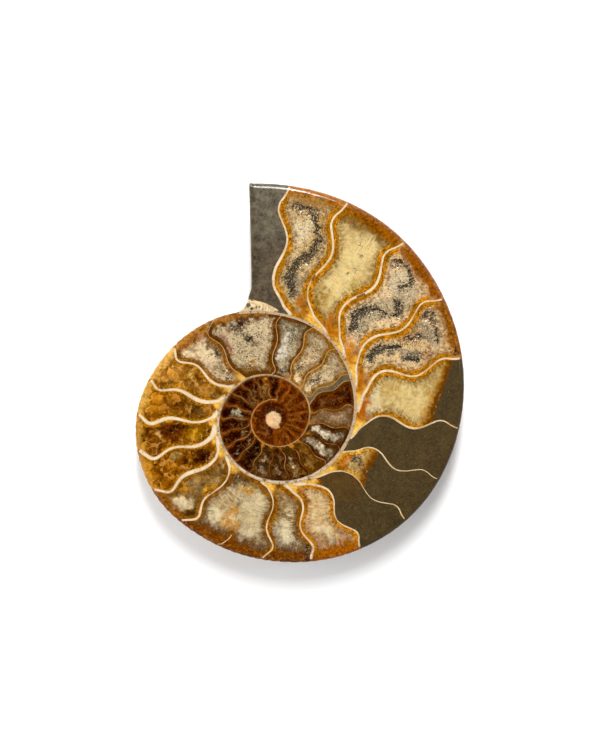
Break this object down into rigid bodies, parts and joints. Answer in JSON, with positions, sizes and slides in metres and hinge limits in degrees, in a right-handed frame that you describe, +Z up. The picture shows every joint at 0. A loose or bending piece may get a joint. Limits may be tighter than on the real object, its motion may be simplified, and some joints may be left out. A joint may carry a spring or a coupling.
{
  "type": "ammonite fossil half",
  "caption": "Fossil ammonite sawn in half and polished, showing a spiral of crystal-filled chambers, its natural ribbed flank below.",
  "frame": {"origin": "on the resting plane, under the middle of the outline's bounding box", "axes": "+Z up, out of the polished cut face; +Y along the longest extent, from the coil towards the mouth; +X towards the outer edge of the last turn"},
  "size_m": [0.0988, 0.1138, 0.016],
  "materials": {
    "fossil_stone": "high polish on the cut face and rim, satin natural shell on the flank"
  },
  "bodies": {
    "root": {"ammonite": "fossil_stone"}
  },
  "joints": []
}
